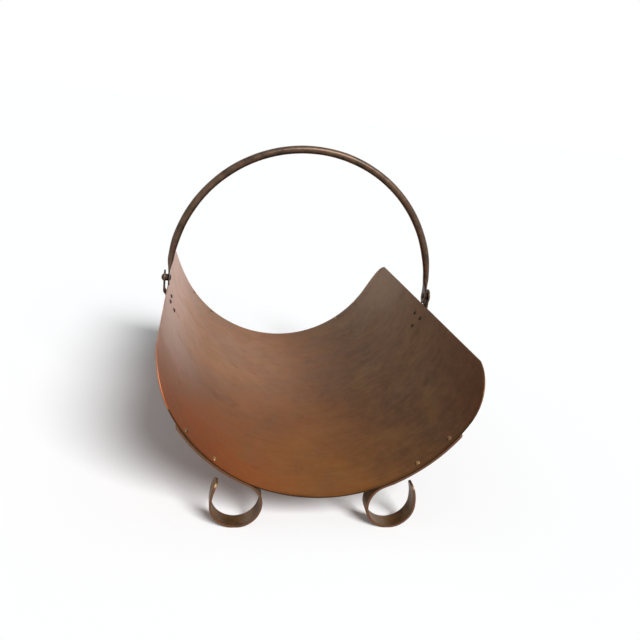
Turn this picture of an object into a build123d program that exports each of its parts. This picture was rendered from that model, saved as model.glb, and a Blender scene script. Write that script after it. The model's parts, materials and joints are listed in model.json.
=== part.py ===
from build123d import *
from math import asin, atan2, cos, degrees, hypot, radians, sin
import os

# Log holder: one sheet bent to a trough, four curled strap feet and a swinging bail handle.
# Millimetres. X runs across the trough, Y along it, and Z up from the floor.
# The origin is on the floor under the middle of the trough.

# Trough sheet
sheet_width = 508.0  # along the curve, from one top edge to the other
sheet_length = 508.0  # along the trough
sheet_thickness = 1.5
sheet_corner_radius = 58.0
trough_radius = 180.0  # to the middle of the sheet

# Strap feet
strap_width = 19.0
strap_thickness = 2.5
strap_corner_radius = 3.0
curl_radius = 27.0  # to the middle of the strap
curl_spacing = 172.0  # across the trough, from curl to curl
curl_turn = 246.0  # degrees of full curl after the strap leaves the sheet
curl_tip_radius = 62.0
curl_tip_turn = 24.0
curl_tip_rounding = 8.0  # corners of the tip, nearly a half round
foot_flat_depth = 0.3  # worn off the bottom of each curl
foot_rivet_start = 44.6  # along the strap, from where it leaves the sheet
foot_rivet_spacing = 45.0
strap_end_margin = 13.0

# Bail ears, riveted outside the walls
ear_thickness = 2.0
ear_gap = 3.0  # between the wall and the ear that stands beside it
ear_eye_radius = 10.0
ear_neck_width = 16.0
ear_lobe_radius = 7.5
ear_bend_radius = 5.0
ear_neck_fillet = 3.0
ear_bend_below_edge = 12.0
ear_straight_below_edge = 5.0
ear_rivet_spacing = 24.0
ear_rivet_below_edge = 18.0
ear_rivet_rows = 16.5

# Bail handle
rod_diameter = 10.0
bail_centre_rise = 6.0  # centre of the arch above the pivots
pivot_above_sheet = 12.0
eye_thickness = 2.5
eye_width = 18.0
eye_below_pivot = 10.5
eye_above_pivot = 15.0
eye_flat_height = 6.0  # above the pivot, where the flattened end starts to swell
neck_height = 27.0  # above the pivot, where the rod is round again

# Pivot pins and spacers
pin_diameter = 6.0
pin_head_diameter = 10.0
pin_head_height = 3.2
pin_tail_diameter = 9.0
pin_tail_height = 1.4
spacer_diameter = 9.0
spacer_length = 3.2

# Rivets
rivet_diameter = 3.6
rivet_head_diameter = 6.4
rivet_head_height = 1.8
rivet_tail_height = 1.4

# Clearances
running_clearance = 0.08  # radial, bail eye on its pin
seat_clearance = 0.02  # radial, rivets, pins and spacers in their holes
head_seat_gap = 0.04  # under a flat head on the curved sheet
eye_play = 0.15  # each side of a bail eye

# Worked out: trough and feet
strap_path_radius = trough_radius + sheet_thickness / 2 + strap_thickness / 2
curl_reach = strap_path_radius + curl_radius
curl_angle = degrees(asin(curl_spacing / 2 / curl_reach))
curl_centre_height = curl_radius + strap_thickness / 2 - foot_flat_depth
trough_centre_height = curl_centre_height + curl_reach * cos(radians(curl_angle))
half_angle = degrees(sheet_width / 2 / trough_radius)
sheet_top = trough_centre_height - trough_radius * cos(radians(half_angle))
foot_centre = sheet_length / 2 - strap_width / 2


def arc_angle(length, radius=trough_radius):
    """Degrees that a length along the curve takes up."""
    return degrees(length / radius)


foot_rivet_angles = {
    "inner": curl_angle + arc_angle(foot_rivet_start),
    "outer": curl_angle + arc_angle(foot_rivet_start + foot_rivet_spacing),
}
strap_end_angle = foot_rivet_angles["outer"] + arc_angle(strap_end_margin)

# Worked out: ears, bail and pins
pivot_height = sheet_top + pivot_above_sheet
ear_path_radius = trough_radius + sheet_thickness / 2 + ear_thickness / 2
wall_reach = (trough_radius + sheet_thickness / 2) * sin(radians(min(half_angle, 90.0)))
ear_inner_face = wall_reach + ear_gap
ear_middle = ear_inner_face + ear_thickness / 2
ear_outer_face = ear_inner_face + ear_thickness
eye_outer_face = ear_inner_face - spacer_length - eye_play
eye_middle = eye_outer_face - eye_thickness / 2
eye_inner_face = eye_outer_face - eye_thickness
ear_upper_rivet_angle = half_angle - arc_angle(ear_rivet_below_edge)
ear_lower_rivet_angle = ear_upper_rivet_angle - arc_angle(ear_rivet_rows)
arch_start_rise = neck_height - bail_centre_rise
arch_start_reach = eye_middle - arch_start_rise / eye_middle * (neck_height - eye_flat_height) / 2
arch_radius = hypot(arch_start_reach, arch_start_rise)
arch_start_angle = degrees(atan2(arch_start_rise, arch_start_reach))

sides = {"left": -1, "right": 1}
ends = {"front": -1, "rear": 1}


def side_view(side, y=0.0, height=0.0):
    """A plane seen along the trough: its x points out to that side and its y points up."""
    return Plane(origin=(0, y, height), x_dir=(side, 0, 0), z_dir=(0, -side, 0))


def sheet_point(angle, radius):
    """Reach and height of a point at an angle round the trough from its lowest line."""
    reach = radius * sin(radians(angle))
    return reach, trough_centre_height - radius * cos(radians(angle))


def rivet_seat(side, angle, y):
    """Plane on the inside face of the sheet, facing the middle of the trough."""
    reach, height = sheet_point(angle, trough_radius - sheet_thickness / 2)
    inward = (-side * sin(radians(angle)), 0, cos(radians(angle)))
    return Plane(origin=(side * reach, y, height), x_dir=(0, 1, 0), z_dir=inward)


def foot_rivet_seats(side, end):
    y = end * foot_centre
    return {row: rivet_seat(side, angle, y) for row, angle in foot_rivet_angles.items()}


def ear_rivet_seats(side):
    return {
        "front": rivet_seat(side, ear_upper_rivet_angle, -ear_rivet_spacing / 2),
        "rear": rivet_seat(side, ear_upper_rivet_angle, ear_rivet_spacing / 2),
        "lower": rivet_seat(side, ear_lower_rivet_angle, 0),
    }


def rivet_holes(seats, grip):
    """Cut the holes for a set of rivets into the piece that is being made."""
    with Locations(*[seat.offset(grip) for seat in seats.values()]):
        Hole(rivet_diameter / 2 + seat_clearance, depth=3 * grip)


def make_headed_pin(across, start, grip, shank, near_head, far_head):
    """A shank along the plane's x from start, with a domed head of (radius, height) at each end."""
    near_radius, near_height = near_head
    far_radius, far_height = far_head
    near_sphere = (near_radius**2 + near_height**2) / (2 * near_height)
    far_sphere = (far_radius**2 + far_height**2) / (2 * far_height)
    near_turn = degrees(asin(near_radius / near_sphere))
    far_turn = degrees(asin(far_radius / far_sphere))
    end = start + grip
    with BuildPart() as pin:
        with BuildSketch(across):
            with BuildLine():
                near = JernArc((start - near_height, 0), (0, 1), near_sphere, -near_turn)
                far = JernArc((end + far_height, 0), (0, 1), far_sphere, far_turn)
                Polyline(near @ 1, (start, shank), (end, shank), far @ 1)
                Line(near @ 0, far @ 0)
            make_face()
        revolve(axis=Axis(across.origin, across.x_dir))
    return pin


def keep(piece, name):
    piece.part.label = name
    export_step(piece.part, f"parts/{name}.step")


def make_trough_sheet():
    with BuildPart() as trough_sheet:
        with BuildSketch(Plane.XZ):
            with BuildLine():
                CenterArc((0, trough_centre_height), trough_radius, -90 - half_angle, 2 * half_angle)
            trace(line_width=sheet_thickness)
        extrude(amount=sheet_length / 2, both=True)
        with BuildSketch(Plane.YZ) as side_outline:
            with Locations((0, sheet_top + sheet_thickness)):
                Rectangle(sheet_length, 2 * trough_radius, align=(Align.CENTER, Align.MAX))
            fillet(side_outline.vertices().group_by(Axis.Y)[-1], sheet_corner_radius)
        extrude(amount=2 * trough_radius, both=True, mode=Mode.INTERSECT)
        for side in sides.values():
            rivet_holes(ear_rivet_seats(side), ear_thickness + sheet_thickness)
            for end in ends.values():
                rivet_holes(foot_rivet_seats(side, end), strap_thickness + sheet_thickness)
    return trough_sheet


def make_foot(side, end):
    with BuildPart() as foot:
        with BuildSketch(side_view(side, end * foot_centre)):
            with BuildLine():
                on_sheet = CenterArc(
                    (0, trough_centre_height),
                    strap_path_radius,
                    strap_end_angle - 90,
                    curl_angle - strap_end_angle,
                )
                curl = JernArc(on_sheet @ 1, on_sheet % 1, curl_radius, curl_turn)
                JernArc(curl @ 1, curl % 1, curl_tip_radius, curl_tip_turn)
            trace(line_width=strap_thickness)
        extrude(amount=strap_width / 2, both=True)
        strap_ends = foot.faces().filter_by(GeomType.PLANE).sort_by(SortBy.AREA)[:2].sort_by(Axis.Z)
        fillet(strap_ends[0].edges().group_by(SortBy.LENGTH)[0], curl_tip_rounding)
        fillet(strap_ends[1].edges().group_by(SortBy.LENGTH)[0], strap_corner_radius)
        split(bisect_by=Plane.XY, keep=Keep.TOP)
        rivet_holes(foot_rivet_seats(side, end), strap_thickness + sheet_thickness)
    return foot


def make_ear(side):
    lowest_angle = ear_lower_rivet_angle - arc_angle(2 * ear_lobe_radius)
    bend_angle = half_angle - arc_angle(ear_bend_below_edge)
    _, upper_rivet_height = sheet_point(ear_upper_rivet_angle, ear_path_radius)
    _, lower_rivet_height = sheet_point(ear_lower_rivet_angle, ear_path_radius)
    with BuildPart() as ear:
        with BuildSketch(side_view(side)):
            with BuildLine() as path:
                pad = CenterArc(
                    (0, trough_centre_height),
                    ear_path_radius,
                    lowest_angle - 90,
                    bend_angle - lowest_angle,
                )
                Polyline(
                    pad @ 1,
                    (ear_middle, sheet_top - ear_straight_below_edge),
                    (ear_middle, pivot_height + 2 * ear_eye_radius),
                )
                fillet(path.vertices().sort_by(Axis.Y)[1:-1], ear_bend_radius)
            trace(line_width=ear_thickness)
        extrude(amount=ear_rivet_spacing, both=True)
        with BuildSketch(Plane.YZ) as outline:
            with Locations(
                (-ear_rivet_spacing / 2, upper_rivet_height),
                (ear_rivet_spacing / 2, upper_rivet_height),
                (0, lower_rivet_height),
            ):
                Circle(ear_lobe_radius)
            make_hull(outline.edges())
            with Locations((0, upper_rivet_height)):
                neck_length = pivot_height - upper_rivet_height
                Rectangle(ear_neck_width, neck_length, align=(Align.CENTER, Align.MIN))
            with Locations((0, pivot_height)):
                Circle(ear_eye_radius)
            neck_edges = outline.edges().filter_by(Axis.Y).sort_by(SortBy.LENGTH)[-2:]
            fillet(neck_edges.vertices().group_by(Axis.Y)[0], ear_neck_fillet)
            fillet(neck_edges.vertices().group_by(Axis.Y)[-1], ear_neck_fillet)
        extrude(amount=2 * ear_middle, both=True, mode=Mode.INTERSECT)
        rivet_holes(ear_rivet_seats(side), ear_thickness + sheet_thickness)
        pin_side = Plane((side * (ear_outer_face + ear_thickness), 0, pivot_height), z_dir=(side, 0, 0))
        with Locations(pin_side):
            Hole(pin_diameter / 2 + seat_clearance, depth=3 * ear_thickness)
    return ear


def make_bail():
    centre_height = pivot_height + bail_centre_rise
    lean = radians(arch_start_angle)
    with BuildPart() as bail:
        with BuildLine(Plane.XZ):
            arch = CenterArc(
                (0, centre_height), arch_radius, arch_start_angle, 180 - 2 * arch_start_angle
            )
        with BuildSketch(Plane(arch @ 0, x_dir=(0, 1, 0), z_dir=arch % 0)):
            Circle(rod_diameter / 2)
        sweep()
        for side in sides.values():
            neck = Plane(
                (side * arch_start_reach, 0, pivot_height + neck_height),
                x_dir=(0, 1, 0),
                z_dir=(-side * sin(lean), 0, cos(lean)),
            )
            flat = Plane((side * eye_middle, 0, pivot_height + eye_flat_height), x_dir=(0, 1, 0))
            eye = Plane((side * eye_middle, 0, pivot_height), x_dir=(0, side, 0), z_dir=(side, 0, 0))
            with BuildSketch(neck):
                Circle(rod_diameter / 2)
            with BuildSketch(flat):
                Ellipse(eye_width / 2, eye_thickness / 2)
            loft()
            with BuildSketch(eye):
                with Locations((0, (eye_above_pivot - eye_below_pivot) / 2)):
                    SlotOverall(eye_above_pivot + eye_below_pivot, eye_width, rotation=90)
            extrude(amount=eye_thickness / 2, both=True)
            with Locations(eye.offset(eye_thickness)):
                Hole(pin_diameter / 2 + running_clearance, depth=3 * eye_thickness)
    return bail


def make_pin(side):
    """Pivot pin: domed head outside the ear, tail peened over inside the bail's eye."""
    start = eye_inner_face - eye_play
    return make_headed_pin(
        side_view(side, height=pivot_height),
        start,
        ear_outer_face - start,
        pin_diameter / 2,
        (pin_tail_diameter / 2, pin_tail_height),
        (pin_head_diameter / 2, pin_head_height),
    )


def make_rivet(seat, gripped):
    """Rivet with its domed head inside the trough and its formed tail outside."""
    across = Plane(seat.origin, x_dir=-seat.z_dir, z_dir=seat.x_dir)
    return make_headed_pin(
        across,
        -head_seat_gap,
        gripped + 2 * head_seat_gap,
        rivet_diameter / 2,
        (rivet_head_diameter / 2, rivet_head_height),
        (rivet_head_diameter / 2, rivet_tail_height),
    )


def make_spacer(side):
    """Round spacer between the ear and the bail's eye."""
    with BuildPart() as spacer:
        with BuildSketch(Plane((side * ear_inner_face, 0, pivot_height), z_dir=(-side, 0, 0))):
            Circle(spacer_diameter / 2)
            Circle(pin_diameter / 2 + seat_clearance, mode=Mode.SUBTRACT)
        extrude(amount=spacer_length)
    return spacer


os.makedirs("parts", exist_ok=True)
keep(make_trough_sheet(), "trough_sheet")
keep(make_bail(), "bail_handle")
for side_name, side in sides.items():
    keep(make_ear(side), f"bail_ear_{side_name}")
    keep(make_pin(side), f"pivot_pin_{side_name}")
    keep(make_spacer(side), f"pivot_spacer_{side_name}")
    for place, seat in ear_rivet_seats(side).items():
        keep(make_rivet(seat, sheet_thickness + ear_thickness), f"ear_rivet_{side_name}_{place}")
    for end_name, end in ends.items():
        keep(make_foot(side, end), f"foot_{end_name}_{side_name}")
        for row, seat in foot_rivet_seats(side, end).items():
            keep(
                make_rivet(seat, sheet_thickness + strap_thickness),
                f"foot_rivet_{end_name}_{side_name}_{row}",
            )
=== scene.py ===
import bmesh
import bpy
import json
from math import asin, cos, hypot, pi, radians, sin, sqrt
from mathutils import Matrix, Vector

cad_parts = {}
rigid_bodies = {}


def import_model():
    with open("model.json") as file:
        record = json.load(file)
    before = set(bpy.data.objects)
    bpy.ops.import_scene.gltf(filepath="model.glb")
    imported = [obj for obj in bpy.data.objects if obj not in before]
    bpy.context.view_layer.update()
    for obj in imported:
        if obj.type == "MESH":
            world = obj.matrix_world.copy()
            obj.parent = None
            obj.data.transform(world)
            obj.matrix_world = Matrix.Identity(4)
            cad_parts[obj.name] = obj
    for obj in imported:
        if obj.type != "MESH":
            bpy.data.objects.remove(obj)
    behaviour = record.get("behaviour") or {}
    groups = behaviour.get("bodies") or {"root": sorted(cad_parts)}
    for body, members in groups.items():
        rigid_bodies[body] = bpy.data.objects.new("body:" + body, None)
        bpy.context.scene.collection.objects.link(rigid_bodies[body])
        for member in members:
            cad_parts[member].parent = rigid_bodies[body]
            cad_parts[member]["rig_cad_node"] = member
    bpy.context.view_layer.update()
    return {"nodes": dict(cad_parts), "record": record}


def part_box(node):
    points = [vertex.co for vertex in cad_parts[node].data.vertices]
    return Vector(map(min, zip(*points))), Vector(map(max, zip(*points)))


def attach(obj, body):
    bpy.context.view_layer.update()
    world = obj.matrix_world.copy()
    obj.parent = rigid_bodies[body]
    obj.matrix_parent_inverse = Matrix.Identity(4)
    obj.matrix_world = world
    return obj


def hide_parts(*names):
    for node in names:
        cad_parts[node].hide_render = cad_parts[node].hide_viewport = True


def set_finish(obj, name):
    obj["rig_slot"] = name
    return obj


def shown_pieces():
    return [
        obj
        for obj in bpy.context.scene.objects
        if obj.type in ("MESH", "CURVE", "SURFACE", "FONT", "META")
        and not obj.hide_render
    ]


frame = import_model()

# Sizes in metres, as the holder was cut and bent
MM = 0.001
SHEET_WIDTH = 508 * MM  # along the curve
SHEET_LENGTH = 508 * MM
SHEET_THICKNESS = 1.5 * MM
SHEET_CORNER = 58 * MM
TROUGH_RADIUS = 180 * MM
STRAP_WIDTH = 19 * MM
STRAP_THICKNESS = 2.5 * MM
STRAP_CORNER = 3 * MM
STRAP_ON_SHEET = 102.6 * MM
CURL_RADIUS = 27 * MM
CURL_SPACING = 172 * MM
CURL_TURN = radians(246)
TIP_RADIUS = 62 * MM
TIP_TURN = radians(24)
TIP_ROUNDING = 8 * MM
ROD_RADIUS = 5 * MM
BAIL_RISE = 6 * MM  # centre of the arch above the pivots
DRAWN_FROM = 58 * MM  # above the pivots, where the rod starts to thin
NECK_HEIGHT = 27 * MM  # above the pivots, where it starts to flatten
NECK_SHARE = 0.8  # of the rod's thickness, left at the neck
FLAT_HEIGHT = 6 * MM
EYE_THICKNESS = 2.5 * MM
EYE_WIDTH = 18 * MM
EYE_BELOW_PIVOT = 10.5 * MM
EYE_PLAY = 0.15 * MM
PIN_HOLE = 3.08 * MM

# Edges, and the height and length of the waves that hand work leaves
SHEET_EDGE = 0.45 * MM
STRAP_EDGE = 0.5 * MM
EAR_EDGE = 0.3 * MM
SHEET_WAVES = (0.7 * MM, 110 * MM)
STRAP_WAVES = (0.5 * MM, 20 * MM)
ROD_WAVES = (0.35 * MM, 30 * MM)

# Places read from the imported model
TROUGH_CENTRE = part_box("trough_sheet")[0][2] + TROUGH_RADIUS + SHEET_THICKNESS / 2
HALF_ANGLE = SHEET_WIDTH / 2 / TROUGH_RADIUS
SHEET_TOP = TROUGH_CENTRE - TROUGH_RADIUS * cos(HALF_ANGLE)
pin_low, pin_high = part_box("pivot_pin_right")
PIVOT_HEIGHT = (pin_low[2] + pin_high[2]) / 2
EYE_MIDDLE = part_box("pivot_spacer_right")[0][0] - EYE_PLAY - EYE_THICKNESS / 2
FOOT_CENTRE = SHEET_LENGTH / 2 - STRAP_WIDTH / 2

# Camera: where the photograph was taken from, worked out from the holder's edges
CAMERA_PLACE = (-0.1437, -0.8353, 0.4369)
CAMERA_TURN = radians(11.89)
CAMERA_DOWN = radians(18.22)
CAMERA_ROLL = radians(7.39)

# Light
KEY_FROM = (0.45, -1.0, 0.94)
KEY_STRENGTH = 4.1
KEY_SPREAD = radians(30)
FILL_STRENGTH = 0.2
FLOOR_GLOW = 0.07


# Modelling

def new_object(name):
    """Names the primitive that was just added and puts its place into its mesh."""
    piece = bpy.context.object
    piece.name = name
    piece.data.name = name
    bpy.ops.object.transform_apply(location=True, rotation=True, scale=True)
    return piece


def pick(piece):
    """Makes the piece the only one that the next operator acts on."""
    bpy.ops.object.select_all(action="DESELECT")
    piece.select_set(True)
    bpy.context.view_layer.objects.active = piece


def edit(piece):
    pick(piece)
    bpy.ops.object.mode_set(mode="EDIT")
    bpy.ops.mesh.select_mode(type="VERT")


def done():
    bpy.ops.object.mode_set(mode="OBJECT")


def select(piece, test):
    """Selects the points of the piece in edit mode that the test picks."""
    bpy.ops.mesh.select_all(action="DESELECT")
    mesh = bmesh.from_edit_mesh(piece.data)
    for point in mesh.verts:
        point.select_set(test(point.co))
    mesh.select_flush(True)
    bmesh.update_edit_mesh(piece.data)


def apply_modifier(piece, kind, **settings):
    pick(piece)
    modifier = piece.modifiers.new(kind.lower(), kind)
    for name, value in settings.items():
        setattr(modifier, name, value)
    bpy.ops.object.modifier_apply(modifier=modifier.name)


def round_edges(piece, width):
    apply_modifier(
        piece, "BEVEL", width=width, segments=2, limit_method="ANGLE", angle_limit=radians(50)
    )


def make_uneven(piece, waves):
    """Moves the surface in and out in soft waves of a height and length."""
    height, length = waves
    clouds = bpy.data.textures.new(f"{piece.name}_waves", "CLOUDS")
    clouds.noise_scale = length
    clouds.noise_depth = 1
    apply_modifier(piece, "DISPLACE", texture=clouds, strength=height, mid_level=0.5)


def smooth(piece, angle=35):
    pick(piece)
    bpy.ops.object.shade_smooth_by_angle(angle=radians(angle))


def spin(angle, steps, centre, clockwise=False):
    """Carries the section round a centre, given across and up, seen from the front."""
    bpy.ops.mesh.spin(
        steps=steps,
        angle=angle,
        center=(centre[0], 0, centre[1]),
        axis=(0, -1 if clockwise else 1, 0),
    )


def narrow(share):
    """Leaves a share of the section's length from front to back."""
    bpy.ops.transform.resize(value=(1, share, 1), center_override=(0, 0, 0))


def turn_normals_out():
    bpy.ops.mesh.select_all(action="SELECT")
    bpy.ops.mesh.normals_make_consistent(inside=False)


def trim_at_floor():
    bpy.ops.mesh.select_all(action="SELECT")
    bpy.ops.mesh.bisect(
        plane_co=(0, 0, 0), plane_no=(0, 0, 1), use_fill=True, clear_inner=True, threshold=0.01 * MM
    )


# Sheet: a row of points along the trough is swung round the trough's centre line
ROW_POINTS = 84
STRIP_WIDTH = 10 * MM
TOP_STEPS = [radians(0.6 + 0.2 * i) for i in range(12)]  # closest where the corners are round
MIDDLE_STEPS = 72
trough_centre = (0, TROUGH_CENTRE)


def row_share(height):
    """Share of the sheet's length that is left at a height, under its rounded corners."""
    depth = SHEET_TOP + SHEET_THICKNESS - height
    if depth >= SHEET_CORNER:
        return 1.0
    cut = SHEET_CORNER - sqrt(SHEET_CORNER**2 - (SHEET_CORNER - depth) ** 2)
    return 1 - cut / (SHEET_LENGTH / 2)


bpy.ops.object.select_all(action="DESELECT")
bpy.ops.mesh.primitive_grid_add(x_subdivisions=1, y_subdivisions=ROW_POINTS, size=1)
bpy.context.object.scale = (STRIP_WIDTH, SHEET_LENGTH, 1)
sheet = new_object("copper_sheet")
edit(sheet)
select(sheet, lambda co: co.x > 0)
bpy.ops.mesh.delete(type="VERT")
bpy.ops.mesh.select_all(action="SELECT")
bpy.ops.transform.translate(value=(STRIP_WIDTH / 2, 0, TROUGH_CENTRE - TROUGH_RADIUS))
bpy.ops.transform.rotate(
    value=-HALF_ANGLE, orient_axis="Y", center_override=(0, 0, TROUGH_CENTRE)
)
share = row_share(SHEET_TOP)
narrow(share)
middle = 2 * HALF_ANGLE - 2 * sum(TOP_STEPS)
angle = -HALF_ANGLE
for step in TOP_STEPS + [middle / MIDDLE_STEPS] * MIDDLE_STEPS + TOP_STEPS[::-1]:
    spin(step, 1, trough_centre)
    angle += step
    new_share = row_share(TROUGH_CENTRE - TROUGH_RADIUS * cos(angle))
    narrow(new_share / share)
    share = new_share
bpy.ops.mesh.select_all(action="SELECT")
bpy.ops.mesh.remove_doubles(threshold=0.1 * MM)
turn_normals_out()
done()
make_uneven(sheet, SHEET_WAVES)
apply_modifier(sheet, "SOLIDIFY", thickness=SHEET_THICKNESS, offset=0, use_even_offset=True)
round_edges(sheet, SHEET_EDGE)
smooth(sheet)
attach(sheet, "holder")
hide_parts("trough_sheet")
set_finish(sheet, "sheet_copper")


# Feet: the strap's section is swung along the sheet, round the curl and up to its tip
CURL_REACH = TROUGH_RADIUS + SHEET_THICKNESS / 2 + STRAP_THICKNESS / 2 + CURL_RADIUS
STRAP_PATH = CURL_REACH - CURL_RADIUS
CURL_ANGLE = asin(CURL_SPACING / 2 / CURL_REACH)
STRAP_END_ANGLE = CURL_ANGLE + STRAP_ON_SHEET / TROUGH_RADIUS
CURL_CENTRE = (CURL_SPACING / 2, TROUGH_CENTRE - CURL_REACH * cos(CURL_ANGLE))
TIP_LEAN = pi / 2 + CURL_ANGLE + CURL_TURN
TIP_CENTRE = (
    CURL_CENTRE[0] + (CURL_RADIUS - TIP_RADIUS) * cos(TIP_LEAN),
    CURL_CENTRE[1] + (CURL_RADIUS - TIP_RADIUS) * sin(TIP_LEAN),
)
STRAP_STEP = radians(3.5)
END_STEPS = (1, 0.8, 0.6, 0.42, 0.28, 0.17, 0.08, 0.025)  # of a corner's rounding, from a strap's end
CUT_END = 0.1 * MM


def end_share(distance, rounding):
    """Share of the strap's width that is left near an end with rounded corners."""
    if distance >= rounding:
        return 1.0
    cut = rounding - sqrt(rounding**2 - (rounding - distance) ** 2)
    return 1 - 2 * cut / STRAP_WIDTH


def turn_strap(angle, centre, clockwise=False):
    spin(angle, max(1, round(abs(angle) / STRAP_STEP)), centre, clockwise)


bpy.ops.object.select_all(action="DESELECT")
bpy.ops.mesh.primitive_plane_add(
    size=1,
    location=(
        STRAP_PATH * sin(STRAP_END_ANGLE),
        0,
        TROUGH_CENTRE - STRAP_PATH * cos(STRAP_END_ANGLE),
    ),
    rotation=(0, pi / 2 - STRAP_END_ANGLE, 0),
)
bpy.context.object.scale = (STRAP_THICKNESS, STRAP_WIDTH, 1)
foot = new_object("strap_foot")
edit(foot)
bpy.ops.mesh.delete(type="ONLY_FACE")
mesh = bmesh.from_edit_mesh(foot.data)
for edge in mesh.edges:
    edge.select_set(abs(edge.verts[0].co.y - edge.verts[1].co.y) > STRAP_WIDTH / 2)
bmesh.update_edit_mesh(foot.data)
bpy.ops.mesh.subdivide(number_cuts=5)
bpy.ops.mesh.select_all(action="SELECT")
share = end_share(CUT_END, STRAP_CORNER)
narrow(share)
bpy.ops.mesh.edge_face_add()
travelled = 0
for part in END_STEPS[::-1]:
    distance = STRAP_CORNER * part
    turn_strap((distance - travelled) / STRAP_PATH, trough_centre, clockwise=True)
    new_share = end_share(distance, STRAP_CORNER)
    narrow(new_share / share)
    share, travelled = new_share, distance
turn_strap(STRAP_END_ANGLE - CURL_ANGLE - travelled / STRAP_PATH, trough_centre, clockwise=True)
turn_strap(CURL_TURN, CURL_CENTRE)
turn_strap((TIP_RADIUS * TIP_TURN - TIP_ROUNDING) / TIP_RADIUS, TIP_CENTRE)
share, left = 1.0, TIP_ROUNDING
for part in END_STEPS[1:]:
    distance = TIP_ROUNDING * part
    turn_strap((left - distance) / TIP_RADIUS, TIP_CENTRE)
    new_share = end_share(distance, TIP_ROUNDING)
    narrow(new_share / share)
    share, left = new_share, distance
bpy.ops.mesh.edge_face_add()
turn_normals_out()
bpy.ops.mesh.bisect(plane_co=(0, 0, 0), plane_no=(0, 0, 1), use_fill=True, clear_inner=True)
done()

for side_name, side in (("left", -1), ("right", 1)):
    for end_name, end in (("front", -1), ("rear", 1)):
        name = f"{end_name}_{side_name}"
        strap = bpy.data.objects.new(f"strap_foot_{name}", foot.data.copy())
        bpy.context.scene.collection.objects.link(strap)
        edit(strap)
        bpy.ops.mesh.select_all(action="SELECT")
        bpy.ops.transform.resize(value=(side, 1, 1), center_override=(0, 0, 0))
        bpy.ops.transform.translate(value=(0, end * FOOT_CENTRE, 0))
        turn_normals_out()
        done()
        round_edges(strap, STRAP_EDGE)
        make_uneven(strap, STRAP_WAVES)
        edit(strap)
        trim_at_floor()
        done()
        smooth(strap)
        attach(strap, "holder")
        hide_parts(f"foot_{name}")
        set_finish(strap, "strap_copper")
bpy.data.objects.remove(foot)


# Bail: a round section swung over the arch, then drawn out flat at both ends for the pins
ARCH_START = NECK_HEIGHT - BAIL_RISE
ARCH_REACH = EYE_MIDDLE - ARCH_START / EYE_MIDDLE * (NECK_HEIGHT - FLAT_HEIGHT) / 2
ARCH_RADIUS = hypot(ARCH_REACH, ARCH_START)
ARCH_CENTRE = PIVOT_HEIGHT + BAIL_RISE
ARCH_LEAN = asin(ARCH_START / ARCH_RADIUS)
ARCH_STEPS = 132
NECK_SECTIONS = 10
ROUND_TIP = (0.3, 0.5, 0.68, 0.82, 0.92, 0.975, 0.997)  # of half the eye's width, below its centre

bpy.ops.object.select_all(action="DESELECT")
bpy.ops.mesh.primitive_circle_add(
    vertices=32,
    radius=ROD_RADIUS,
    location=(ARCH_REACH, 0, PIVOT_HEIGHT + NECK_HEIGHT),
    rotation=(0, -ARCH_LEAN, 0),
)
bail = new_object("bail_rod")
edit(bail)
bpy.ops.mesh.select_all(action="SELECT")
spin(pi - 2 * ARCH_LEAN, ARCH_STEPS, (0, ARCH_CENTRE))
done()
for point in bail.data.vertices:
    height = point.co.z - PIVOT_HEIGHT
    drawn = min(max((DRAWN_FROM - height) / (DRAWN_FROM - NECK_HEIGHT), 0), 1)
    thin = 1 - (1 - NECK_SHARE) * drawn * drawn * (3 - 2 * drawn)
    reach = hypot(point.co.x, point.co.z - ARCH_CENTRE)
    pull = (ARCH_RADIUS + (reach - ARCH_RADIUS) * thin) / reach
    point.co.x *= pull
    point.co.z = ARCH_CENTRE + (point.co.z - ARCH_CENTRE) * pull


def drawn_sections():
    """Height above the pivot, thickness and width of the sections from the neck to the tip."""
    neck = 2 * ROD_RADIUS * NECK_SHARE
    for i in range(1, NECK_SECTIONS + 1):
        t = i / NECK_SECTIONS
        ease = t * t * (3 - 2 * t)
        yield (
            NECK_HEIGHT + (FLAT_HEIGHT - NECK_HEIGHT) * t,
            neck + (EYE_THICKNESS - neck) * ease,
            2 * ROD_RADIUS + (EYE_WIDTH - 2 * ROD_RADIUS) * ease,
        )
    low = EYE_WIDTH / 2 - EYE_BELOW_PIVOT
    yield 2 * MM, EYE_THICKNESS, EYE_WIDTH
    yield low, EYE_THICKNESS, EYE_WIDTH
    for part in ROUND_TIP:
        yield low - EYE_WIDTH / 2 * part, EYE_THICKNESS, EYE_WIDTH * sqrt(1 - part * part)


for side in (-1, 1):
    edit(bail)
    select(bail, lambda co: side * co.x > 0.1 and co.z < PIVOT_HEIGHT + NECK_HEIGHT + 1 * MM)
    centre = Vector((side * ARCH_REACH, 0, PIVOT_HEIGHT + NECK_HEIGHT))
    thickness, width = 2 * ROD_RADIUS * NECK_SHARE, 2 * ROD_RADIUS
    for count, (height, new_thickness, new_width) in enumerate(drawn_sections()):
        t = min((count + 1) / NECK_SECTIONS, 1)
        reach = ARCH_REACH + (EYE_MIDDLE - ARCH_REACH) * sin(t * pi / 2)
        new_centre = Vector((side * reach, 0, PIVOT_HEIGHT + height))
        bpy.ops.mesh.extrude_region_move(TRANSFORM_OT_translate={"value": new_centre - centre})
        bpy.ops.transform.resize(
            value=(new_thickness / thickness, new_width / width, 0.6), center_override=new_centre
        )
        centre, thickness, width = new_centre, new_thickness, new_width
    bpy.ops.mesh.edge_face_add()
    turn_normals_out()
    done()
make_uneven(bail, ROD_WAVES)
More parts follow.
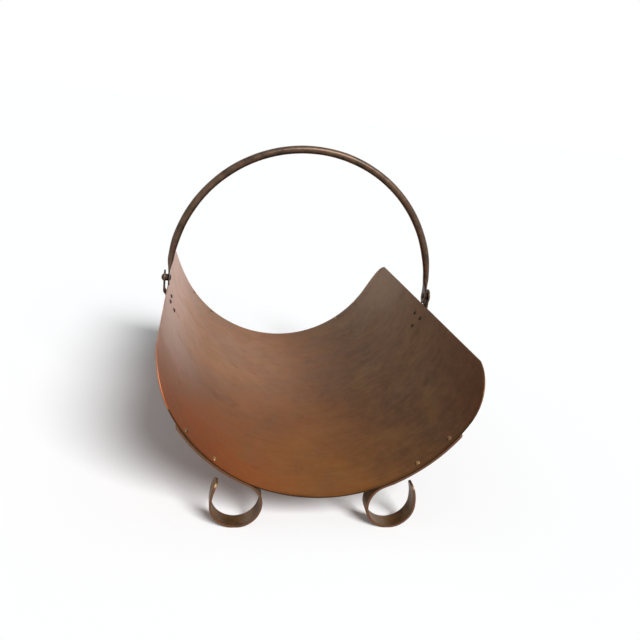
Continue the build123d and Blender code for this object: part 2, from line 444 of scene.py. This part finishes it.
for side in (-1, 1):
    bpy.ops.object.select_all(action="DESELECT")
    bpy.ops.mesh.primitive_cylinder_add(
        vertices=48,
        radius=PIN_HOLE,
        depth=20 * MM,
        location=(side * EYE_MIDDLE, 0, PIVOT_HEIGHT),
        rotation=(0, pi / 2, 0),
    )
    drill = new_object("drill")
    apply_modifier(bail, "BOOLEAN", operation="DIFFERENCE", solver="EXACT", object=drill)
    bpy.data.objects.remove(drill)
smooth(bail, 40)
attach(bail, "bail")
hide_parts("bail_handle")
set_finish(bail, "rod_copper")


# Ears: copies of the bent plates, with their cut edges filed
for side_name in ("left", "right"):
    node = frame["nodes"][f"bail_ear_{side_name}"]
    ear = bpy.data.objects.new(f"copper_ear_{side_name}", node.data.copy())
    bpy.context.scene.collection.objects.link(ear)
    edit(ear)
    bpy.ops.mesh.customdata_custom_splitnormals_clear()
    bpy.ops.mesh.select_all(action="SELECT")
    bpy.ops.mesh.remove_doubles(threshold=0.01 * MM)
    bpy.ops.mesh.dissolve_limited(angle_limit=radians(0.5))
    done()
    round_edges(ear, EAR_EDGE)
    smooth(ear)
    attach(ear, "holder")
    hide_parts(f"bail_ear_{side_name}")
    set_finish(ear, "strap_copper")


# Materials

# Settings that many of the nodes take: one part of another, a soft change, and two tones
SHARE = {"operation": "MULTIPLY", "use_clamp": True}
EASED = {"interpolation_type": "SMOOTHSTEP"}
TONES = {"data_type": "RGBA"}


def linear(hex_colour):
    """An sRGB hex value as a linear colour."""
    channels = [int(hex_colour[i:i + 2], 16) / 255 for i in (1, 3, 5)]
    return [c / 12.92 if c <= 0.04045 else ((c + 0.055) / 1.055) ** 2.4 for c in channels] + [1.0]


def add(material, kind, settings=(), **inputs):
    """Adds a node. Each input is named, or numbered after a _, and gets a value or a node."""
    node = material.node_tree.nodes.new(kind)
    for name, value in dict(settings).items():
        setattr(node, name, value)
    for name, value in inputs.items():
        socket = node.inputs[int(name[1:]) if name[1:].isdigit() else name.replace("_", " ")]
        if isinstance(value, bpy.types.Node):
            value = next(output for output in value.outputs if output.enabled)
        if isinstance(value, bpy.types.NodeSocket):
            material.node_tree.links.new(value, socket)
        else:
            socket.default_value = value
    return node


def new_material(name):
    material = bpy.data.materials.new(name)
    material.use_nodes = True
    material.node_tree.nodes.clear()
    return material


def per(size):
    """Noise scale for a pattern whose patches are about this many millimetres across."""
    return 1 / (size * MM)


def patches(m, place, size, low, high, detail, roughness, distortion):
    """Cloudy patches of a size in millimetres, 0 where the clouds are low and 1 where high."""
    clouds = add(
        m,
        "ShaderNodeTexNoise",
        Vector=place,
        Scale=per(size),
        Detail=detail,
        Roughness=roughness,
        Distortion=distortion,
    )
    return add(m, "ShaderNodeMapRange", EASED, Value=clouds, From_Min=low, From_Max=high)


def round_area(m, place, centre, inner, outer):
    """A soft round area, 1 within the inner distance and 0 beyond the outer one."""
    away = add(m, "ShaderNodeVectorMath", {"operation": "DISTANCE"}, _0=place, _1=centre)
    return add(
        m, "ShaderNodeMapRange", EASED, Value=away, From_Min=inner, From_Max=outer, To_Min=1, To_Max=0
    )


def stain(m, under, area, strength, tone):
    """Lays a tone over the colour under it. The strength is its share where the area is full."""
    share = add(m, "ShaderNodeMath", SHARE, _0=area, _1=strength)
    return add(m, "ShaderNodeMix", TONES, _0=share, _6=under, _7=linear(tone))


# Copper sheet, rolled smooth and then left to brown indoors. The oxide is a thin brown skin
# that keeps a satin metal sheen, with orange where it is thin and near black where it is thick.
# Its patterns lie on the flat sheet, so they don't stretch up the walls.
m = new_material("browned_copper_sheet")
place = add(m, "ShaderNodeTexCoord").outputs["Object"]
across, lengthwise, height = add(m, "ShaderNodeSeparateXYZ", Vector=place).outputs
drop = add(m, "ShaderNodeMath", {"operation": "SUBTRACT"}, _0=TROUGH_CENTRE, _1=height)
turned_by = add(m, "ShaderNodeMath", {"operation": "ARCTAN2"}, _0=across, _1=drop)
along = add(m, "ShaderNodeMath", {"operation": "MULTIPLY"}, _0=turned_by, _1=TROUGH_RADIUS)
flat = add(m, "ShaderNodeCombineXYZ", X=along, Y=lengthwise)

clouds = add(
    m, "ShaderNodeTexNoise", Vector=flat, Scale=per(150), Detail=5, Roughness=0.62, Distortion=0.7
)
colour = add(m, "ShaderNodeValToRGB", Fac=clouds)
browns = colour.color_ramp.elements
browns[0].position = 0.30
browns[0].color = linear("#64391C")
browns[1].position = 0.70
browns[1].color = linear("#87552C")
browns.new(0.44).color = linear("#6E401E")
browns.new(0.55).color = linear("#7C4820")
mottle = patches(m, flat, 46, 0.36, 0.66, 4, 0.6, 0.6)

# Painted sheen: paler and pinker up the left wall, most of all towards the back, standing in for the
# lamp's reflection on that wall
rear_left_painted_sheen = round_area(m, place, (-0.12, 0.12, 0.07), 0.06, 0.26)
thinned = add(m, "ShaderNodeMapRange", EASED, Value=mottle, To_Min=0.7)
rear_left_painted_sheen = add(m, "ShaderNodeMath", SHARE, _0=rear_left_painted_sheen, _1=thinned)
colour = stain(m, colour, rear_left_painted_sheen, 0.32, "#BC9478")
# A painted sheen: pale pink reflection high up the left wall, stronger towards the back
left_top_painted_sheen = add(m, "ShaderNodeMapRange", EASED, Value=along, From_Min=-0.12, From_Max=-0.25)
to_back = add(
    m, "ShaderNodeMapRange", EASED, Value=lengthwise, From_Min=-0.24, From_Max=0.12, To_Min=0.56
)
left_top_painted_sheen = add(m, "ShaderNodeMath", SHARE, _0=left_top_painted_sheen, _1=to_back)
colour = stain(m, colour, left_top_painted_sheen, 0.83, "#CAACA2")

# Darker and greener up the right wall, partly brown patina and partly painted shade where that wall
# faces away from the lamp, with a paler far corner
right_shade_and_patina = add(m, "ShaderNodeMapRange", EASED, Value=along, From_Min=-0.05, From_Max=0.14)
thinned = add(m, "ShaderNodeMapRange", EASED, Value=mottle, To_Min=1, To_Max=0.9)
right_shade_and_patina = add(m, "ShaderNodeMath", SHARE, _0=right_shade_and_patina, _1=thinned)
colour = stain(m, colour, right_shade_and_patina, 0.82, "#36240F")
far_right = add(m, "ShaderNodeMapRange", EASED, Value=along, From_Min=0.13, From_Max=0.25)
to_back = add(m, "ShaderNodeMapRange", EASED, Value=lengthwise, From_Min=-0.05, From_Max=0.25)
far_right = add(m, "ShaderNodeMath", SHARE, _0=far_right, _1=to_back)
colour = stain(m, colour, far_right, 0.5, "#8A725E")

# Golden and orange along the front, most of all at the front of the left wall
low_front_orange = round_area(m, place, (-0.02, -0.27, 0.035), 0.03, 0.22)
thinned = add(m, "ShaderNodeMapRange", EASED, Value=mottle, To_Min=0.55, To_Max=0.95)
low_front_orange = add(m, "ShaderNodeMath", SHARE, _0=low_front_orange, _1=thinned)
colour = stain(m, colour, low_front_orange, 0.66, "#885414")
front_left_orange = round_area(m, place, (-0.15, -0.26, 0.09), 0.04, 0.19)
thinned = add(
    m, "ShaderNodeMapRange", EASED, Value=clouds, From_Min=0.25, From_Max=0.65, To_Min=0.8
)
front_left_orange = add(m, "ShaderNodeMath", SHARE, _0=front_left_orange, _1=thinned)
colour = stain(m, colour, front_left_orange, 0.87, "#96480A")

# Small patches of other tones, smudges and specks
colour = stain(m, colour, patches(m, flat, 70, 0.5, 0.72, 3, 0.55, 0.9), 0.3, "#6B5228")
smudges = patches(m, flat, 34, 0.54, 0.78, 3, 0.6, 0.4)
colour = stain(m, colour, smudges, 0.18, "#4A3122")
colour = stain(m, colour, patches(m, flat, 13, 0.38, 0.66, 4, 0.65, 0.2), 0.1, "#906444")
colour = stain(m, colour, patches(m, flat, 9, 0.54, 0.68, 3, 0.6, 0.2), 0.15, "#75351C")
colour = stain(m, colour, patches(m, flat, 3.2, 0.73, 0.80, 1, 0.4, 0), 0.55, "#3A251A")

# Faint lines from the rollers, drawn out round the trough and wider than real ones, to show
rolled = add(m, "ShaderNodeVectorMath", {"operation": "MULTIPLY"}, _0=flat, _1=(0.06, 1, 1))
colour = stain(m, colour, patches(m, rolled, 5, 0.3, 0.7, 4, 0.6, 0), 0.03, "#C49A78")

# Dark rims at the two ends, and darker cut edges
SHEET_END = SHEET_LENGTH / 2
RIM_START, RIM_FULL = SHEET_END - 6 * MM, SHEET_END - 1 * MM
CUT_START, CUT_FULL = SHEET_END - 0.5 * MM, SHEET_END - 0.2 * MM
from_middle = add(m, "ShaderNodeMath", {"operation": "ABSOLUTE"}, _0=lengthwise)
rim = add(
    m, "ShaderNodeMapRange", EASED, Value=from_middle, From_Min=RIM_START, From_Max=RIM_FULL
)
rim = add(m, "ShaderNodeMath", SHARE, _0=rim, _1=mottle)
colour = stain(m, colour, rim, 0.62, "#422817")
cut_edge = add(
    m, "ShaderNodeMapRange", EASED, Value=from_middle, From_Min=CUT_START, From_Max=CUT_FULL
)
colour = stain(m, colour, cut_edge, 0.92, "#30200F")

# Satin all over and duller in the smudges
satin = add(
    m,
    "ShaderNodeMapRange",
    EASED,
    Value=clouds,
    From_Min=0.3,
    From_Max=0.7,
    To_Min=0.43,
    To_Max=0.53,
)
rough = add(m, "ShaderNodeMath", {"operation": "MULTIPLY_ADD"}, _0=smudges, _1=0.072, _2=satin)

# Soft dents, and a grain drawn coarser than the metal's own, so that it shows
dents = add(
    m, "ShaderNodeTexNoise", Vector=flat, Scale=per(60), Detail=2, Roughness=0.5, Distortion=0
)
grain = add(
    m, "ShaderNodeTexNoise", Vector=flat, Scale=per(2.2), Detail=3, Roughness=0.6, Distortion=0
)
relief = add(m, "ShaderNodeMath", {"operation": "MULTIPLY_ADD"}, _0=grain, _1=0.05, _2=dents)
bump = add(m, "ShaderNodeBump", Strength=0.35, Distance=1.2 * MM, Height=relief)
shader = add(
    m,
    "ShaderNodeBsdfPrincipled",
    Base_Color=colour,
    Metallic=0.87,
    Specular_Tint=linear("#FAF0E8"),
    Sheen_Weight=0.06,
    Sheen_Roughness=0.4,
    Sheen_Tint=linear("#E6CCC2"),
    Roughness=rough,
    Normal=bump,
)
add(m, "ShaderNodeOutputMaterial", Surface=shader)
sheet_finish = m


def forged_copper(name, dark, light, red, roughness, edge=None):
    """Copper worked under the hammer, with a thick brown skin and, on the straps, redder edges."""
    m = new_material(name)
    place = add(m, "ShaderNodeTexCoord").outputs["Object"]
    clouds = add(
        m, "ShaderNodeTexNoise", Vector=place, Scale=per(22), Detail=4, Roughness=0.6, Distortion=0.8
    )
    colour = add(m, "ShaderNodeValToRGB", Fac=clouds)
    browns = colour.color_ramp.elements
    browns[0].position = 0.34
    browns[0].color = linear(dark)
    browns[1].position = 0.62
    browns[1].color = linear(light)
    colour = stain(m, colour, patches(m, place, 12, 0.52, 0.68, 3, 0.55, 1), 0.6, red)
    colour = stain(m, colour, patches(m, place, 3, 0.60, 0.72, 3, 0.6, 0.3), 0.45, dark)
    if edge:
        width = add(m, "ShaderNodeSeparateXYZ", Vector=place).outputs["Y"]
        width = add(m, "ShaderNodeMath", {"operation": "ABSOLUTE"}, _0=width)
        width = add(m, "ShaderNodeMath", {"operation": "SUBTRACT"}, _0=width, _1=FOOT_CENTRE)
        width = add(m, "ShaderNodeMath", {"operation": "ABSOLUTE"}, _0=width)
        rubbed = add(
            m,
            "ShaderNodeMapRange",
            EASED,
            Value=width,
            From_Min=STRAP_WIDTH / 2 - 1.1 * MM,
            From_Max=STRAP_WIDTH / 2 - 0.2 * MM,
        )
        thinned = add(
            m,
            "ShaderNodeMapRange",
            EASED,
            Value=clouds,
            From_Min=0.35,
            From_Max=0.6,
            To_Min=0.35,
            To_Max=0.9,
        )
        colour = stain(m, colour, rubbed, thinned, edge)
    rough = add(
        m,
        "ShaderNodeMapRange",
        EASED,
        Value=clouds,
        From_Min=0.3,
        From_Max=0.7,
        To_Min=roughness - 0.06,
        To_Max=roughness + 0.08,
    )

    # Marks of the hammer, and a grain drawn coarser than the metal's own, so that it shows
    hammered = add(
        m, "ShaderNodeTexNoise", Vector=place, Scale=per(7), Detail=2, Roughness=0.5, Distortion=0
    )
    grain = add(
        m, "ShaderNodeTexNoise", Vector=place, Scale=per(1.5), Detail=2, Roughness=0.5, Distortion=0
    )
    relief = add(
        m, "ShaderNodeMath", {"operation": "MULTIPLY_ADD"}, _0=grain, _1=0.15, _2=hammered
    )
    bump = add(m, "ShaderNodeBump", Strength=0.4, Distance=0.6 * MM, Height=relief)
    shader = add(
        m,
        "ShaderNodeBsdfPrincipled",
        Base_Color=colour,
        Metallic=0.6,
        Roughness=rough,
        Normal=bump,
    )
    add(m, "ShaderNodeOutputMaterial", Surface=shader)
    return m


strap_finish = forged_copper("browned_copper_strap", "#56402A", "#7A5C3A", "#7C4A30", 0.42, "#5E3A28")
ear_finish = forged_copper("browned_copper_ear", "#33291E", "#54442F", "#4E3426", 0.45)
rod_finish = forged_copper("browned_copper_rod", "#34261C", "#584433", "#5C3A2A", 0.36)
rivet_finish = forged_copper("browned_copper_rivet", "#261913", "#402C20", "#42281E", 0.5)
bright_rivet_finish = forged_copper("rubbed_copper_rivet", "#4E3722", "#8A6A40", "#6A4428", 0.27)
finishes = {
    "sheet_copper": sheet_finish,
    "strap_copper": strap_finish,
    "rod_copper": rod_finish,
    "rivet_copper": rivet_finish,
}
slots = {part["node"]: part["material_slot"] for part in frame["record"]["subparts"]}
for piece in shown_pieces():
    finish = finishes[piece.get("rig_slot") or slots[piece["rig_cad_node"]]]
    if piece.name.startswith("copper_ear"):
        finish = ear_finish
    if piece.name.startswith("foot_rivet"):
        finish = bright_rivet_finish
    piece.data.materials.clear()
    piece.data.materials.append(finish)

# Floor
bpy.ops.object.select_all(action="DESELECT")
bpy.ops.mesh.primitive_plane_add(size=60, location=(0, 0, 0))
floor = bpy.context.object
floor.name = "floor"
pale = new_material("pale_paper_floor")
path = add(pale, "ShaderNodeLightPath")
paper = add(pale, "ShaderNodeBsdfDiffuse", Color=linear("#F9FAFB"))
glow = add(
    pale, "ShaderNodeEmission", Color=(1, 1, 1, 1), Strength=path.outputs["Is Camera Ray"]
)
fill = add(pale, "ShaderNodeMixShader", Fac=FLOOR_GLOW, _1=paper, _2=glow)
add(pale, "ShaderNodeOutputMaterial", Surface=fill)
floor.data.materials.append(pale)

# Light: a white room that the eye and the metal see in full, and one broad lamp
world = bpy.data.worlds.new("studio")
bpy.context.scene.world = world
world.use_nodes = True
world.node_tree.nodes.clear()
path = add(world, "ShaderNodeLightPath")
seen = add(
    world,
    "ShaderNodeMath",
    {"operation": "MAXIMUM"},
    _0=path.outputs["Is Camera Ray"],
    _1=path.outputs["Is Glossy Ray"],
)
strength = add(world, "ShaderNodeMapRange", Value=seen, To_Min=FILL_STRENGTH, To_Max=1)
sky = add(world, "ShaderNodeBackground", Color=(1, 1, 1, 1), Strength=strength)
add(world, "ShaderNodeOutputWorld", Surface=sky)
lamp = bpy.data.lights.new("key", "SUN")
lamp.energy = KEY_STRENGTH
lamp.angle = KEY_SPREAD
key = bpy.data.objects.new("key", lamp)
bpy.context.scene.collection.objects.link(key)
key.rotation_euler = Vector(KEY_FROM).to_track_quat("Z", "Y").to_euler()

# Camera
ahead = Vector(
    (sin(CAMERA_TURN) * cos(CAMERA_DOWN), cos(CAMERA_TURN) * cos(CAMERA_DOWN), -sin(CAMERA_DOWN))
)
level = Vector((cos(CAMERA_TURN), -sin(CAMERA_TURN), 0))
above = level.cross(ahead)
right = cos(CAMERA_ROLL) * level + sin(CAMERA_ROLL) * above
up = cos(CAMERA_ROLL) * above - sin(CAMERA_ROLL) * level
camera = bpy.data.objects.new("camera", bpy.data.cameras.new("camera"))
bpy.context.scene.collection.objects.link(camera)
camera.data.lens = 36
camera.data.sensor_width = 36
camera.data.clip_start = 0.01
turned = Matrix((right, up, -ahead)).transposed().to_4x4()
camera.matrix_world = Matrix.Translation(CAMERA_PLACE) @ turned
bpy.context.scene.camera = camera
bpy.context.scene.view_settings.view_transform = "Standard"
